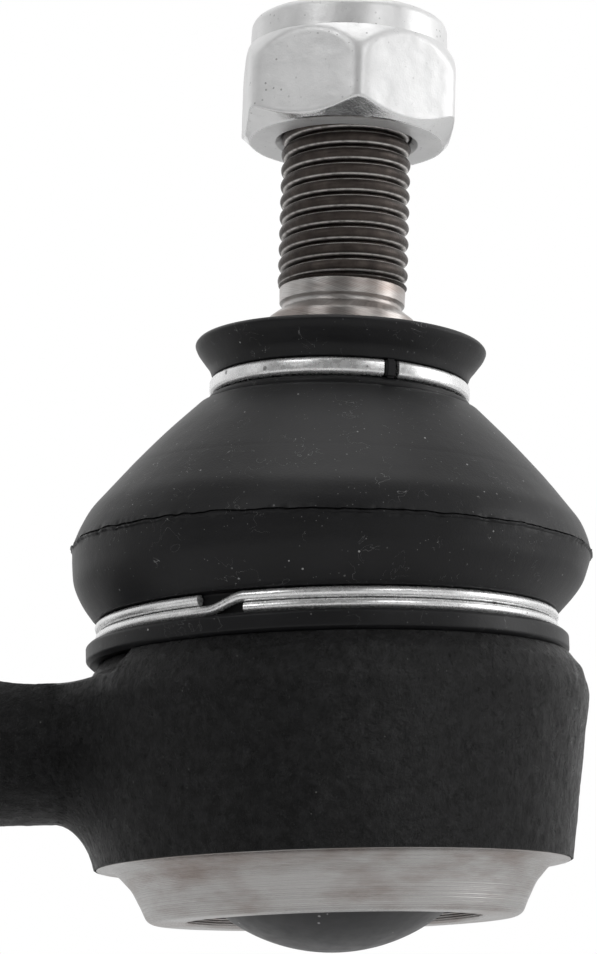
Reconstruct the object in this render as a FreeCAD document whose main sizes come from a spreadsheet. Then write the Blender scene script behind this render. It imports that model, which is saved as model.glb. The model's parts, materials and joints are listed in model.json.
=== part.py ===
"""Outer tie rod end: a ball stud in a swaged housing, a dust boot on two rings, and a lock nut.

Millimetres. The origin is the ball's centre, +Z leaves along the housing's axis on the stud side,
and the threaded shank runs out along -X.  The stud rests leaning a few degrees towards +X.
"""

import FreeCAD, Part
import math
import os
import Sketcher

os.makedirs("parts", exist_ok=True)

# ---------------------------------------------------------------- driving sizes

stud_tilt = 3.2                # how far the stud leans towards +X at rest, degrees
ball_radius = 12.0
running_gap = 0.05             # radial clearance between the ball and its bearing
seat_gap = 0.05                # play between pieces that stand still against each other
stud_pitch = 1.5
stud_major_radius = 5.97
nut_bottom_height = 55.5
nut_hex_height = 8.8
nut_height = 12.0
nut_across_flats = 19.0
shank_radius = 7.0
shank_end = 74.0               # ball centre to the shank's end
shank_pitch = 1.5
shoulder_height = 7.1          # where the boot's bead sits on the housing
housing_bore_radius = 14.1
rim_bottom = -16.0
scoop_radius = 15.4            # the hollow above the shank's root
scoop_centre_height = 20.45
cap_top = -13.05               # the end cap's flat edge
cap_face = -14.4
cap_sheet = 1.3                # thickness of the end cap's dome
dome_radius = 16.0
dome_centre = -2.8
bend_low = 9.5                 # the boot is square to the housing up to here
bend_high = 22.0               # and square to the stud from here
nut_turn = 1.5                 # how far the nut's corner is turned from the front, degrees
clip_gap_turn = 18.5           # how far the clip ring's gap is turned from the front
thread_start = 41.9            # the stud's thread, along the stud
stud_top = 66.5
shank_thread_start = 37.0      # the shank's thread, out from the ball's centre
nut_bevel_radius = 9.75
nut_bevel_depth = 0.8
nut_collar_radius = 9.15
nut_pocket_radius = 7.8
base_wire = 0.95               # wire diameter of the ring round the boot's base
clip_gap_angle = 7.0
clip_outer_radius = 11.9
clip_height = 1.5
clip_thickness = 1.15
clip_middle_height = 32.0

# The thread's cut is the basic profile's depth, with flats at the root and the crest.
thread_depth_ratio = 0.6134
root_flat_ratio = 0.125
mouth_flat_ratio = 0.875
thread_overcut = 0.1


def chord_half(radius, distance):
    """Half the chord of a circle, or the radius of a sphere's slice, at a distance from centre."""
    return math.sqrt(radius * radius - distance * distance)


socket_radius = ball_radius + running_gap
nut_bevel_end_radius = nut_bevel_radius + nut_bevel_depth * math.sqrt(3)

sizes = {
    # housing, outside
    "axis_line": 0.0,
    "rim_bottom_height": rim_bottom,
    "rim_lip_radius": 16.6,
    "rim_side_low_height": rim_bottom + 1.4,
    "rim_side_low_radius": 17.2,
    "rim_side_middle_height": rim_bottom + 3.0,
    "rim_side_middle_radius": 18.0,
    "rim_side_top_height": -11.9,
    "rim_side_top_radius": 19.0,
    "annulus_inner_radius": 19.7,
    "annulus_height": -11.2,
    "wall_bottom_radius": 21.3,
    "wall_top_radius": 23.35,
    "wall_top_height": 3.6,
    "shoulder_low_radius": 22.75,
    "shoulder_low_height": 5.7,
    "shoulder_radius": 21.7,
    "shoulder_height": shoulder_height,
    "neck_radius": 18.7,
    "neck_flange_height": 10.7,
    "neck_flange_radius": 19.25,
    "neck_top_height": 12.3,
    # housing, inside
    "mouth_top_radius": 14.3,
    "mouth_radius": 12.0,
    "mouth_height": 8.4,
    "bore_radius": housing_bore_radius,
    "bore_top_height": 6.0,
    "cap_step_height": -13.0,
    "cap_bore_radius": 14.85,
    "lip_inside_height": -14.5,
    "lip_hole_radius": 13.2,
    "below_rim_height": rim_bottom - 1.0,
    "rim_round": 0.9,
    "neck_bevel_height": 11.9,
    "neck_bevel_radius": 18.85,
    "above_neck_height": 13.3,
    # shank
    "shank_radius": shank_radius,
    "shank_end_x": -shank_end,
    "shank_chamfer_x": 1.2 - shank_end,
    "shank_tip_radius": shank_radius - 1.2,
    "flare_start_x": -24.6,
    "flare_low_x": -23.5,
    "flare_low_radius": 7.25,
    "flare_middle_x": -22.6,
    "flare_middle_radius": 7.85,
    "flare_high_x": -21.8,
    "flare_high_radius": 8.9,
    "flare_end_x": -21.2,
    "flare_end_radius": 10.4,
    "shank_root_x": -18.0,
    "trim_end_x": -17.0,
    "scoop_radius": scoop_radius,
    "scoop_centre_x": -26.0,
    "scoop_centre_z": scoop_centre_height,
    "scoop_half_width": 12.5,
    "scoop_reach": chord_half(scoop_radius, scoop_centre_height - shoulder_height),
    "shank_pitch": shank_pitch,
    "shank_thread_height": shank_end - shank_thread_start + 2 * shank_pitch,
    # bearing
    "shell_outer_radius": housing_bore_radius - seat_gap,
    "shell_cone_height": 6.0 - seat_gap,
    "shell_top_radius": 12.2,
    "shell_top_height": 8.1,
    "shell_mouth_radius": 10.9,
    "shell_lip_height": 6.7,
    "shell_lip_radius": chord_half(socket_radius, 6.7),
    "shell_bottom_height": -1.5,
    "shell_bottom_radius": chord_half(socket_radius, 1.5),
    "seat_outer_radius": housing_bore_radius - 2 * seat_gap,
    "seat_top_height": -2.1,
    "seat_top_radius": chord_half(socket_radius, 2.1),
    "seat_hole_height": -10.2,
    "seat_hole_radius": chord_half(socket_radius, 10.2),
    "seat_bottom_height": -11.6,
    # disc spring
    "spring_outer_radius": 13.3,
    "spring_inner_radius": 7.4,
    "spring_outer_low": -12.95,
    "spring_outer_high": -12.35,
    "spring_inner_low": -12.25,
    "spring_inner_high": -11.65,
    # end cap
    "cap_edge_radius": 14.8,
    "cap_top_height": cap_top,
    "cap_face_height": cap_face,
    "dome_centre_height": dome_centre,
    "dome_foot_radius": chord_half(dome_radius, dome_centre - cap_face),
    "dome_bottom_height": dome_centre - dome_radius,
    "dome_inner_foot_radius": chord_half(dome_radius - cap_sheet, dome_centre - cap_top),
    "dome_inner_bottom_height": dome_centre - dome_radius + cap_sheet,
    # ball stud, heights along its own axis
    "ball_flat_height": -10.9,
    "ball_flat_radius": chord_half(ball_radius, 10.9),
    "ball_dimple_radius": 2.0,
    "ball_dimple_height": -9.3,
    "stud_neck_radius": 5.6,
    "stud_neck_low": chord_half(ball_radius, 5.6),
    "stud_neck_high": 14.6,
    "neck_blend": 3.0,
    "taper_large_radius": 7.9,
    "taper_large_height": 18.8,
    "taper_small_radius": 6.8,
    "taper_small_height": 38.5,
    "relief_radius": 5.45,
    "relief_low_height": 39.3,
    "relief_high_height": 39.9,
    "land_radius": 5.75,
    "land_low_height": 40.1,
    "land_high_height": 41.6,
    "stud_major_radius": stud_major_radius,
    "thread_low_height": thread_start,
    "stud_chamfer_height": stud_top - 1.1,
    "stud_tip_radius": 4.9,
    "stud_top_height": stud_top,
    "stud_pitch": stud_pitch,
    "stud_thread_height": stud_top - thread_start + 2 * stud_pitch,
    # lock nut, heights from its own underside
    "nut_across_flats": nut_across_flats,
    "nut_hex_height": nut_hex_height,
    "nut_height": nut_height,
    "nut_bore_radius": stud_major_radius + 0.08,
    "nut_countersink_radius": 6.6,
    "nut_countersink_depth": 0.6,
    "nut_bevel_radius": nut_bevel_radius,
    "nut_bevel_depth": nut_bevel_depth,
    "nut_bevel_end_radius": nut_bevel_end_radius,
    "nut_under_height": -1.0,
    "nut_over_height": nut_height + 1.0,
    "nut_top_bevel_height": nut_hex_height
    - (nut_bevel_end_radius - nut_collar_radius) / math.sqrt(3),
    "nut_collar_radius": nut_collar_radius,
    "nut_collar_fillet": 2.2,
    "nut_pocket_radius": nut_pocket_radius,
    "nut_pocket_height": 8.9,
    "nut_pocket_top": 11.3,
    "nut_top_hole_radius": 6.9,
    "insert_outer_radius": nut_pocket_radius - seat_gap,
    "insert_inner_radius": stud_major_radius + 0.05,
    "insert_low_height": 8.95,
    "insert_high_height": 11.25,
    # clip ring
    "clip_outer_radius": clip_outer_radius,
    "clip_inner_radius": clip_outer_radius - clip_thickness,
    "clip_low_height": clip_middle_height - clip_height / 2,
    "clip_high_height": clip_middle_height + clip_height / 2,
    "clip_edge_round": 0.42,
    "clip_turn": 360.0 - clip_gap_angle,
    # base ring
    "base_ring_radius": 20.42,
    "base_wire_radius": base_wire / 2,
    "base_ring_low": 9.5,
    "base_ring_pitch": base_wire + 0.06,
    # the boot's key
    "key_inner_radius": 10.3,
    "key_length": 1.55,
    "key_width": 1.0,
    "key_height": 1.45,
}

# The base ring's wire, in degrees round from +X: start, climb between turns, end, point spacing.
base_wire_start = -114.0
base_climb_start = 224.0
base_climb_end = 246.0
base_wire_end = 582.0
base_wire_step = 4.0

# The boot's outside and inside, from its base to its lip: name, radius, height.
boot_outside = [
    ("bead_foot", 21.40, shoulder_height + seat_gap),
    ("bead_low", 21.75, 7.50),
    ("bead_high", 21.75, 8.70),
    ("bead_top", 21.45, 8.98),
    ("base_groove_low", 19.88, 9.00),
    ("base_groove_high", 19.88, 11.00),
    ("belly_foot", 20.90, 11.12),
    ("belly_low", 22.20, 12.70),
    ("belly_middle", 22.95, 14.10),
    ("belly_high", 23.25, 15.50),
    ("parting_line", 23.45, 17.00),
    ("crown_foot", 22.95, 18.50),
    ("crown_low", 22.25, 19.90),
    ("crown_bend", 21.15, 21.30),
    ("cone_foot", 19.90, 22.80),
    ("cone_low", 18.60, 24.30),
    ("cone_middle", 15.90, 27.20),
    ("cone_high", 12.90, 30.10),
    ("collar_top", 12.15, 30.80),
    ("clip_groove_edge", 11.50, 31.15),
    ("clip_groove_low", 10.68, 31.20),
    ("clip_groove_high", 10.68, 32.80),
    ("lip_foot", 11.65, 32.90),
    ("lip_low", 11.95, 33.80),
    ("lip_middle", 12.50, 34.50),
    ("lip_high", 13.10, 35.30),
    ("lip_edge", 13.35, 35.90),
    ("lip_top", 13.05, 36.25),
]
boot_inside = [
    ("inner_start", 18.78, 6.60),
    ("inner_neck_high", 18.78, 10.60),
    ("inner_flange_low", 19.34, 10.64),
    ("inner_flange_high", 19.34, 12.60),
    ("inner_belly_low", 20.60, 13.60),
    ("inner_belly_high", 21.20, 15.20),
    ("inner_parting", 21.50, 17.00),
    ("inner_crown_low", 21.10, 18.20),
    ("inner_crown_high", 19.85, 20.20),
    ("inner_cone_low", 17.36, 23.14),
    ("inner_cone_high", 11.66, 28.94),
    ("inner_collar", 9.60, 30.10),
    ("stud_bore_low", 7.35, 30.60),
    ("stud_bore_high", 7.14, 34.30),
    ("cup_low", 8.40, 34.70),
    ("cup_high", 12.10, 36.25),
    ("cup_over", 12.90, 36.70),
]
for name, radius, height in boot_outside + boot_inside:
    sizes[name + "_radius"] = radius
    sizes[name + "_height"] = height

# ---------------------------------------------------------------- document and shared helpers

doc = FreeCAD.newDocument("TieRodEnd")
sheet = doc.addObject("Spreadsheet::Sheet", "Sizes")
for row, (alias, number) in enumerate(sizes.items(), start=1):
    sheet.set("A%d" % row, alias)
    sheet.set("B%d" % row, "%.6f" % number)
    sheet.setAlias("B%d" % row, alias)
doc.recompute()

housing_axis = FreeCAD.Placement()
stud_axis = FreeCAD.Placement(FreeCAD.Vector(0, 0, 0),
                              FreeCAD.Rotation(FreeCAD.Vector(0, 1, 0), stud_tilt))
nut_seat = stud_axis * FreeCAD.Placement(
    FreeCAD.Vector(0, 0, nut_bottom_height),
    FreeCAD.Rotation(FreeCAD.Vector(0, 0, 1), nut_turn))


def new_body(name):
    """An empty body labelled with its file name."""
    body = doc.addObject("PartDesign::Body", name)
    body.Label = name
    return body


def origin_feature(body, role):
    """The body's own plane or axis with this role."""
    for feature in body.Origin.OriginFeatures:
        if feature.Role == role:
            return feature
    raise ValueError("no origin feature " + role)


def new_sketch(body, name, plane="XZ_Plane"):
    """An empty sketch on one of the body's own planes."""
    sketch = body.newObject("Sketcher::SketchObject", name)
    sketch.AttachmentSupport = [(origin_feature(body, plane), "")]
    sketch.MapMode = "FlatFace"
    return sketch


def draw_profile(sketch, corners, arcs=None):
    """Close a loop through named corners; arcs maps an edge to its centre and its side.

    An arc's centre sits on the sketch's vertical axis at the named height.
    """
    arcs = arcs or {}
    points = [FreeCAD.Vector(sizes[x], sizes[y], 0) for x, y in corners]
    count = len(points)
    for index, start in enumerate(points):
        end = points[(index + 1) % count]
        if index in arcs:
            centre = FreeCAD.Vector(0, sizes[arcs[index]], 0)
            radius = start.distanceToPoint(centre)
            middle = (start + end) * 0.5 - centre
            middle.normalize()
            edge = Part.Arc(start, centre + middle * radius, end)
        else:
            edge = Part.LineSegment(start, end)
        sketch.addGeometry(edge, False)
    return points


def start_and_end(sketch, index, point):
    """The sketch's names for an edge's end nearest the point, then for its other end."""
    start = sketch.getPoint(index, 1)
    if start.distanceToPoint(point) < 1e-6:
        return 1, 2
    return 2, 1


def close_profile(sketch, corners, points, arcs=None):
    """Join the edges at their corners and tie every corner to the sheet."""
    arcs = arcs or {}
    count = len(points)
    ends = [start_and_end(sketch, index, points[index]) for index in range(count)]
    for index in range(count):
        following = (index + 1) % count
        sketch.addConstraint(Sketcher.Constraint(
            "Coincident", index, ends[index][1], following, ends[following][0]))
    for index, (x_alias, y_alias) in enumerate(corners):
        for kind, alias in (("DistanceX", x_alias), ("DistanceY", y_alias)):
            number = sketch.addConstraint(Sketcher.Constraint(
                kind, -1, 1, index, ends[index][0], sizes[alias]))
            sketch.setExpression("Constraints[%d]" % number, "Sizes." + alias)
    for index in arcs:
        sketch.addConstraint(Sketcher.Constraint("PointOnObject", index, 3, -2))


def profile_sketch(body, name, corners, arcs=None, plane="XZ_Plane"):
    """A closed sketch whose every corner is a pair of sizes from the sheet."""
    sketch = new_sketch(body, name, plane)
    points = draw_profile(sketch, corners, arcs)
    close_profile(sketch, corners, points, arcs)
    return sketch


def revolve(body, name, sketch, angle=None, axis="Z_Axis"):
    """Turn a sketch about one of the body's axes."""
    feature = body.newObject("PartDesign::Revolution", name)
    feature.Profile = sketch
    feature.ReferenceAxis = (origin_feature(body, axis), [""])
    feature.Angle = 360.0
    if angle:
        feature.setExpression("Angle", "Sizes." + angle)
    sketch.Visibility = False
    doc.recompute()
    return feature


def groove(body, name, sketch, axis="Z_Axis"):
    """Cut with a sketch turned a full turn about one of the body's axes."""
    feature = body.newObject("PartDesign::Groove", name)
    feature.Profile = sketch
    feature.ReferenceAxis = (origin_feature(body, axis), [""])
    feature.Angle = 360.0
    doc.recompute()
    return feature


def cut_thread(body, name, sketch, pitch, height, axis, reverse):
    """Cut a right-hand helical groove whose section is the sketch."""
    helix = body.newObject("PartDesign::SubtractiveHelix", name)
    helix.Profile = sketch
    helix.ReferenceAxis = (origin_feature(body, axis), [""])
    helix.Mode = 0
    helix.LeftHanded = False
    helix.Reversed = reverse
    helix.setExpression("Pitch", "Sizes." + pitch)
    helix.setExpression("Height", "Sizes." + height)
    doc.recompute()
    return helix


def ring_edges(shape, radius, height):
    """Names of the circular edges about Z with this radius at this height."""
    names = []
    for number, edge in enumerate(shape.Edges, start=1):
        curve = edge.Curve
        if not isinstance(curve, Part.Circle):
            continue
        if abs(curve.Radius - radius) < 0.01 and abs(curve.Center.z - height) < 0.01:
            names.append("Edge%d" % number)
    return names


def fillet(body, name, base, edges, radius):
    """Round the named edges of the body's last feature."""
    feature = body.newObject("PartDesign::Fillet", name)
    feature.Base = (base, edges)
    if isinstance(radius, str):
        feature.setExpression("Radius", "Sizes." + radius)
    else:
        feature.Radius = radius
    doc.recompute()
    return feature


# ---------------------------------------------------------------- housing

def housing_drum(body):
    """The drafted drum with its waisted rim below and the boot's grooved neck above."""
    outline = profile_sketch(body, "DrumOutline", [
        ("axis_line", "rim_bottom_height"),
        ("rim_lip_radius", "rim_bottom_height"),
        ("rim_side_low_radius", "rim_side_low_height"),
        ("rim_side_middle_radius", "rim_side_middle_height"),
        ("rim_side_top_radius", "rim_side_top_height"),
        ("annulus_inner_radius", "annulus_height"),
        ("wall_bottom_radius", "annulus_height"),
        ("wall_top_radius", "wall_top_height"),
        ("shoulder_low_radius", "shoulder_low_height"),
        ("shoulder_radius", "shoulder_height"),
        ("neck_radius", "shoulder_height"),
        ("neck_radius", "neck_flange_height"),
        ("neck_flange_radius", "neck_flange_height"),
        ("neck_flange_radius", "neck_bevel_height"),
        ("neck_bevel_radius", "neck_top_height"),
        ("axis_line", "neck_top_height"),
    ])
    return revolve(body, "Drum", outline)


def housing_shank(body):
    """The round shank, chamfered at its end and flared where it runs into the drum."""
    outline = profile_sketch(body, "ShankOutline", [
        ("shank_end_x", "axis_line"),
        ("shank_end_x", "shank_tip_radius"),
        ("shank_chamfer_x", "shank_radius"),
        ("flare_start_x", "shank_radius"),
        ("flare_low_x", "flare_low_radius"),
        ("flare_middle_x", "flare_middle_radius"),
        ("flare_high_x", "flare_high_radius"),
        ("flare_end_x", "flare_end_radius"),
        ("shank_root_x", "flare_end_radius"),
        ("shank_root_x", "axis_line"),
    ])
    return revolve(body, "Shank", outline, axis="X_Axis")


def trim_shank(body):
    """Cut the shank's flare level with the shoulder, so that the boot's neck stays free."""
    above = profile_sketch(body, "AboveShoulder", [
        ("flare_start_x", "shoulder_height"),
        ("trim_end_x", "shoulder_height"),
        ("trim_end_x", "above_neck_height"),
        ("flare_start_x", "above_neck_height"),
    ])
    trim = body.newObject("PartDesign::Pocket", "ShankTrim")
    trim.Profile = above
    trim.Midplane = True
    trim.setExpression("Length", "2 * Sizes.scoop_half_width")
    doc.recompute()
    return trim


def housing_scoop(body):
    """A shallow round hollow across the top of the shank's neck, up to the boot's shoulder."""
    hollow = new_sketch(body, "ScoopSection", "XZ_Plane")
    centre = FreeCAD.Vector(sizes["scoop_centre_x"], sizes["scoop_centre_z"], 0)
    reach = FreeCAD.Vector(sizes["scoop_reach"], 0, 0)
    shoulder = FreeCAD.Vector(centre.x, shoulder_height, 0)
    bottom = centre - FreeCAD.Vector(0, sizes["scoop_radius"], 0)
    hollow.addGeometry(Part.Arc(shoulder - reach, bottom, shoulder + reach), False)
    hollow.addGeometry(Part.LineSegment(shoulder + reach, shoulder - reach), False)
    hollow.addConstraint(Sketcher.Constraint("Coincident", 0, 2, 1, 1))
    hollow.addConstraint(Sketcher.Constraint("Coincident", 0, 1, 1, 2))
    hollow.addConstraint(Sketcher.Constraint("Horizontal", 1))
    for kind, edge, end, alias in (("DistanceX", 0, 3, "scoop_centre_x"),
                                   ("DistanceY", 0, 3, "scoop_centre_z"),
                                   ("DistanceY", 1, 1, "shoulder_height")):
        number = hollow.addConstraint(
            Sketcher.Constraint(kind, -1, 1, edge, end, sizes[alias]))
        hollow.setExpression("Constraints[%d]" % number, "Sizes." + alias)
    number = hollow.addConstraint(Sketcher.Constraint("Radius", 0, sizes["scoop_radius"]))
    hollow.setExpression("Constraints[%d]" % number, "Sizes.scoop_radius")
    scoop = body.newObject("PartDesign::Pocket", "ShankScoop")
    scoop.Profile = hollow
    scoop.Midplane = True
    scoop.setExpression("Length", "2 * Sizes.scoop_half_width")
    doc.recompute()
    return scoop


def housing_bore(body):
    """The stepped bore for the bearing, its flared mouth and the seat for the end cap."""
    inside = profile_sketch(body, "HousingInside", [
        ("axis_line", "below_rim_height"),
        ("lip_hole_radius", "below_rim_height"),
        ("lip_hole_radius", "lip_inside_height"),
        ("cap_bore_radius", "lip_inside_height"),
        ("cap_bore_radius", "cap_step_height"),
        ("bore_radius", "cap_step_height"),
        ("bore_radius", "bore_top_height"),
        ("mouth_radius", "mouth_height"),
        ("mouth_top_radius", "neck_top_height"),
        ("mouth_top_radius", "above_neck_height"),
        ("axis_line", "above_neck_height"),
    ])
    return groove(body, "HousingBore", inside)


def housing_edges(body, bore):
    """Rounds on the swaged rim's lip."""
    rim = ring_edges(bore.Shape, sizes["rim_lip_radius"], rim_bottom)
    rim += ring_edges(bore.Shape, sizes["lip_hole_radius"], rim_bottom)
    return fillet(body, "RimRound", bore, rim, "rim_round")


def thread_section(body, name, radius, pitch, start, along_x):
    """The cut's trapezoid, beside a cylinder of this radius, on the XZ plane."""
    depth = thread_depth_ratio * pitch
    root_half = root_flat_ratio * pitch / 2
    mouth_half = mouth_flat_ratio * pitch / 2 + thread_overcut / 2
    shape = [(-root_half, radius - depth), (root_half, radius - depth),
             (mouth_half, radius + thread_overcut), (-mouth_half, radius + thread_overcut)]
    section = new_sketch(body, name, "XZ_Plane")
    corners = []
    for along, out in shape:
        if along_x:
            corners.append(FreeCAD.Vector(start + along, out, 0))
        else:
            corners.append(FreeCAD.Vector(out, start + along, 0))
    for index, corner in enumerate(corners):
        section.addGeometry(Part.LineSegment(corner, corners[(index + 1) % 4]), False)
    for index in range(4):
        section.addConstraint(
            Sketcher.Constraint("Coincident", index, 2, (index + 1) % 4, 1))
    return section


def make_housing():
    """The forged housing with its shank."""
    body = new_body("housing")
    housing_shank(body)
    trim_shank(body)
    housing_drum(body)
    housing_scoop(body)
    bore = housing_bore(body)
    housing_edges(body, bore)
    section = thread_section(body, "ShankThreadSection", shank_radius, shank_pitch,
                             -shank_thread_start, True)
    cut_thread(body, "ShankThread", section, "shank_pitch", "shank_thread_height",
               "X_Axis", True)
    return body


# ---------------------------------------------------------------- bearing, spring and end cap

def make_bearing_shell():
    """The plastic shell over the ball's upper half."""
    body = new_body("bearing_shell")
    outline = profile_sketch(body, "ShellOutline", [
        ("shell_bottom_radius", "shell_bottom_height"),
        ("shell_outer_radius", "shell_bottom_height"),
        ("shell_outer_radius", "shell_cone_height"),
        ("shell_top_radius", "shell_top_height"),
        ("shell_mouth_radius", "shell_top_height"),
        ("shell_lip_radius", "shell_lip_height"),
    ], {5: "axis_line"})
    revolve(body, "Shell", outline)
    return body


def make_lower_seat():
    """The plastic cup that the spring presses against the ball from below."""
    body = new_body("lower_seat")
    outline = profile_sketch(body, "SeatOutline", [
        ("seat_hole_radius", "seat_bottom_height"),
        ("seat_outer_radius", "seat_bottom_height"),
        ("seat_outer_radius", "seat_top_height"),
        ("seat_top_radius", "seat_top_height"),
        ("seat_hole_radius", "seat_hole_height"),
    ], {3: "axis_line"})
    revolve(body, "Seat", outline)
    return body


def make_disc_spring():
    """The coned disc spring that takes up wear."""
    body = new_body("disc_spring")
    outline = profile_sketch(body, "SpringOutline", [
        ("spring_outer_radius", "spring_outer_low"),
        ("spring_outer_radius", "spring_outer_high"),
        ("spring_inner_radius", "spring_inner_high"),
        ("spring_inner_radius", "spring_inner_low"),
    ])
    revolve(body, "Spring", outline)
    return body


def make_end_cap():
    """The pressed cap with its domed middle, held by the housing's swaged rim."""
    body = new_body("end_cap")
    outline = profile_sketch(body, "CapOutline", [
        ("axis_line", "dome_bottom_height"),
        ("dome_foot_radius", "cap_face_height"),
        ("cap_edge_radius", "cap_face_height"),
        ("cap_edge_radius", "cap_top_height"),
        ("dome_inner_foot_radius", "cap_top_height"),
        ("axis_line", "dome_inner_bottom_height"),
    ], {0: "dome_centre_height", 4: "dome_centre_height"})
    revolve(body, "Cap", outline)
    return body


# ---------------------------------------------------------------- ball stud

def make_ball_stud():
    """The ball, its neck, the taper that seats in the knuckle, and the threaded end."""
    body = new_body("ball_stud")
    outline = profile_sketch(body, "StudOutline", [
        ("axis_line", "ball_dimple_height"),
        ("ball_dimple_radius", "ball_flat_height"),
        ("ball_flat_radius", "ball_flat_height"),
        ("stud_neck_radius", "stud_neck_low"),
        ("stud_neck_radius", "stud_neck_high"),
        ("taper_large_radius", "taper_large_height"),
        ("taper_small_radius", "taper_small_height"),
        ("relief_radius", "relief_low_height"),
        ("relief_radius", "relief_high_height"),
        ("land_radius", "land_low_height"),
        ("land_radius", "land_high_height"),
        ("stud_major_radius", "thread_low_height"),
        ("stud_major_radius", "stud_chamfer_height"),
        ("stud_tip_radius", "stud_top_height"),
        ("axis_line", "stud_top_height"),
    ], {2: "axis_line"})
    turned = revolve(body, "StudBlank", outline)
    neck = ring_edges(turned.Shape, sizes["stud_neck_radius"], sizes["stud_neck_high"])
    fillet(body, "NeckBlend", turned, neck, "neck_blend")
    section = thread_section(body, "StudThreadSection", stud_major_radius, stud_pitch,
                             thread_start + stud_pitch / 2, False)
    cut_thread(body, "StudThread", section, "stud_pitch", "stud_thread_height",
               "Z_Axis", False)
    body.Placement = stud_axis
    return body


# ---------------------------------------------------------------- lock nut

def hexagon(body, name):
    """A hexagon across the nut's flats, with a corner on the sketch's vertical axis."""
    section = new_sketch(body, name, "XY_Plane")
    corner_radius = nut_across_flats / math.sqrt(3)
    corners = []
    for index in range(6):
        angle = math.radians(90 + 60 * index)
        corners.append(FreeCAD.Vector(corner_radius * math.cos(angle),
                                      corner_radius * math.sin(angle), 0))
    for index, corner in enumerate(corners):
        section.addGeometry(Part.LineSegment(corner, corners[(index + 1) % 6]), False)
    for index in range(6):
        section.addConstraint(
            Sketcher.Constraint("Coincident", index, 2, (index + 1) % 6, 1))
        if index:
            section.addConstraint(Sketcher.Constraint("Equal", 0, index))
    section.addGeometry(Part.Circle(FreeCAD.Vector(0, 0, 0), FreeCAD.Vector(0, 0, 1),
                                    corner_radius), True)
    section.addConstraint(Sketcher.Constraint("Coincident", 6, 3, -1, 1))
    for index in range(6):
        section.addConstraint(Sketcher.Constraint("PointOnObject", index, 1, 6))
    section.addConstraint(Sketcher.Constraint("PointOnObject", 0, 1, -2))
    across = section.addConstraint(
        Sketcher.Constraint("Distance", 1, 1, 1, 2, corner_radius))
    section.setExpression("Constraints[%d]" % across, "Sizes.nut_across_flats / sqrt(3)")
    return section


def make_lock_nut():
    """A bevelled hexagon under a round collar, bored for the stud and the insert."""
    body = new_body("lock_nut")
    prism = body.newObject("PartDesign::Pad", "Hexagon")
    prism.Profile = hexagon(body, "HexagonSection")
    prism.setExpression("Length", "Sizes.nut_hex_height")
    doc.recompute()
    collar = body.newObject("PartDesign::AdditiveCylinder", "Collar")
    collar.setExpression("Radius", "Sizes.nut_collar_radius")
    collar.setExpression("Height", "Sizes.nut_height")
    doc.recompute()
    crown = ring_edges(collar.Shape, sizes["nut_collar_radius"], nut_height)
    fillet(body, "CollarRound", collar, crown, "nut_collar_fillet")
    bevel = profile_sketch(body, "BevelSection", [
        ("nut_bevel_radius", "nut_under_height"),
        ("nut_bevel_radius", "axis_line"),
        ("nut_bevel_end_radius", "nut_bevel_depth"),
        ("nut_bevel_end_radius", "nut_under_height"),
    ])
    groove(body, "UnderBevel", bevel)
    crown_bevel = profile_sketch(body, "TopBevelSection", [
        ("nut_collar_radius", "nut_hex_height"),
        ("nut_collar_radius", "nut_over_height"),
        ("nut_bevel_end_radius", "nut_over_height"),
        ("nut_bevel_end_radius", "nut_top_bevel_height"),
    ])
    groove(body, "TopBevel", crown_bevel)
    bore = profile_sketch(body, "NutBoreSection", [
        ("axis_line", "nut_under_height"),
        ("nut_countersink_radius", "nut_under_height"),
        ("nut_countersink_radius", "axis_line"),
        ("nut_bore_radius", "nut_countersink_depth"),
        ("nut_bore_radius", "nut_pocket_height"),
        ("nut_pocket_radius", "nut_pocket_height"),
        ("nut_pocket_radius", "nut_pocket_top"),
        ("nut_top_hole_radius", "nut_pocket_top"),
        ("nut_top_hole_radius", "nut_over_height"),
        ("axis_line", "nut_over_height"),
    ])
    groove(body, "NutBore", bore)
    body.Placement = nut_seat
    return body


def make_nut_insert():
    """The nylon ring held under the collar's edge."""
    outer = doc.addObject("Part::Cylinder", "InsertOuter")
    outer.setExpression("Radius", "Sizes.insert_outer_radius")
    outer.setExpression("Height", "Sizes.insert_high_height - Sizes.insert_low_height")
    inner = doc.addObject("Part::Cylinder", "InsertInner")
    inner.setExpression("Radius", "Sizes.insert_inner_radius")
    inner.setExpression("Height", "Sizes.insert_high_height - Sizes.insert_low_height")
    ring = doc.addObject("Part::Cut", "nut_insert")
    ring.Label = "nut_insert"
    ring.Base = outer
    ring.Tool = inner
    lift = FreeCAD.Placement(FreeCAD.Vector(0, 0, sizes["insert_low_height"]),
                             FreeCAD.Rotation())
    ring.Placement = nut_seat * lift
    doc.recompute()
    return ring


# ---------------------------------------------------------------- dust boot

def bend_share(height):
    """How much of the stud's lean the boot has taken up at a height, from none to all."""
    share = (height - bend_low) / (bend_high - bend_low)
    share = min(max(share, 0.0), 1.0)
    return share * share * (3 - 2 * share)


def bent_placement(height):
    """Where the boot's slice at this height sits once the stud leans."""
    lean = FreeCAD.Rotation(FreeCAD.Vector(0, 1, 0), stud_tilt * bend_share(height))
    centre = lean.multVec(FreeCAD.Vector(0, 0, height))
    return FreeCAD.Placement(centre, lean)


def bent_solid(name, slices):
    """A ruled solid through circles that follow the boot's bend."""
    circles = []
    for slice_name, radius, height in slices:
        circle = doc.addObject("Part::Circle", slice_name)
        circle.setExpression("Radius", "Sizes.%s_radius" % slice_name)
        circle.Placement = bent_placement(height)
        circles.append(circle)
    loft = doc.addObject("Part::Loft", name)
    loft.Sections = circles
    loft.Solid = True
    loft.Ruled = True
    return loft


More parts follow.
